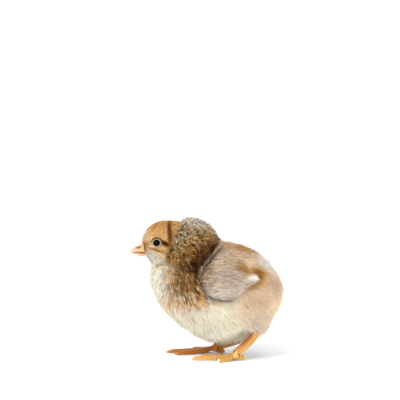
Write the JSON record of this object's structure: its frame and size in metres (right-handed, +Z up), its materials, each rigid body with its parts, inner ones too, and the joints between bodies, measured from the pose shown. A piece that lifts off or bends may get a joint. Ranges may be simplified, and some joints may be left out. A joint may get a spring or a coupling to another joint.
{
  "type": "wind-up hopping chicken",
  "caption": "Wind-up hopping toy chick: downy body over a plastic shell, spring motor with flank key, gear train and eccentric rocking two splayed feet.",
  "frame": {"origin": "on the floor, under the middle of the toy's box", "axes": "+X towards the tail, +Y towards the chick's right side and the key, +Z up; the soles stand on Z = 0"},
  "size_m": [0.0772, 0.0602, 0.0704],
  "materials": {
    "body_down": "long soft pile, cream below and pinkish tan above",
    "ruff_down": "long loose pile, grey-brown speckled with rust",
    "wing_down": "flat silky pile, warm grey",
    "face_down": "short dense pile, golden tan",
    "shell_plastic": "satin moulding",
    "beak_horn": "satin, pale pink",
    "eye_glass": "polished black bead",
    "lid_skin": "satin, pale grey",
    "leg_rubber": "satin, ringed and scaled",
    "steel": "bright tin-plated",
    "brass": "stamped and satin",
    "spring_steel": "blued",
    "key_metal": "nickel plated"
  },
  "bodies": {
    "toy_body": {"body_down_left": "body_down", "body_down_right": "body_down", "neck_ruff": "ruff_down", "wing_left": "wing_down", "wing_right": "wing_down", "face_down": "face_down", "body_shell_left": "shell_plastic", "body_shell_right": "shell_plastic", "head_shell_left": "shell_plastic", "head_shell_right": "shell_plastic", "neck_plug": "shell_plastic", "shell_screw_front": "steel", "shell_screw_top": "steel", "shell_screw_rear": "steel", "eye_left": "eye_glass", "eye_right": "eye_glass", "eyelid_left": "lid_skin", "eyelid_right": "lid_skin", "beak_upper": "beak_horn", "beak_lower": "beak_horn", "motor_plate_left": "steel", "motor_plate_right": "steel", "pillar_top_front": "brass", "pillar_bottom_front": "brass", "pillar_top_rear": "brass", "pillar_bottom_rear": "brass", "mainspring": "spring_steel"},
    "winding_set": {"winding_arbor": "steel", "winding_key": "key_metal", "ratchet_wheel": "steel"},
    "great_wheel_set": {"great_wheel": "brass", "click_spring": "spring_steel"},
    "second_set": {"second_arbor": "steel", "second_pinion": "steel", "second_wheel": "brass"},
    "third_set": {"third_arbor": "steel", "third_pinion": "steel", "third_wheel": "brass"},
    "eccentric_set": {"eccentric_arbor": "steel", "eccentric_pinion": "steel", "eccentric": "brass"},
    "leg_set": {"leg_axle": "steel", "leg_left": "leg_rubber", "leg_right": "leg_rubber", "leg_rocker": "steel", "axle_clip_left": "spring_steel", "axle_clip_right": "spring_steel"}
  },
  "joints": [
    {"name": "key_wind", "type": "hinge", "parent": "toy_body", "child": "winding_set", "pos_m": [-0.00897, -0.00412, 0.03211], "axis": [0, -1, 0], "range_deg": [0, 1440], "deforming": ["mainspring", "click_spring"]},
    {"name": "great_wheel_spin", "type": "hinge", "parent": "toy_body", "child": "great_wheel_set", "pos_m": [-0.00897, -0.00412, 0.03211], "axis": [0, 1, 0], "continuous": true, "deforming": ["click_spring"]},
    {"name": "second_wheel_spin", "type": "hinge", "parent": "toy_body", "child": "second_set", "pos_m": [0.00115, -0.00412, 0.03193], "axis": [0, 1, 0], "continuous": true},
    {"name": "third_wheel_spin", "type": "hinge", "parent": "toy_body", "child": "third_set", "pos_m": [0.01122, -0.00412, 0.03299], "axis": [0, 1, 0], "continuous": true},
    {"name": "eccentric_spin", "type": "hinge", "parent": "toy_body", "child": "eccentric_set", "pos_m": [0.02051, -0.00412, 0.0305], "axis": [0, 1, 0], "continuous": true},
    {"name": "leg_swing", "type": "hinge", "parent": "toy_body", "child": "leg_set", "pos_m": [0.02051, -0.00412, 0.0215], "axis": [0, 1, 0], "range_deg": [-6, 6]}
  ],
  "couplings": [
    {"joint": "second_wheel_spin", "follows": "great_wheel_spin", "ratio": -3},
    {"joint": "third_wheel_spin", "follows": "great_wheel_spin", "ratio": 9},
    {"joint": "eccentric_spin", "follows": "great_wheel_spin", "ratio": -25.2}
  ]
}
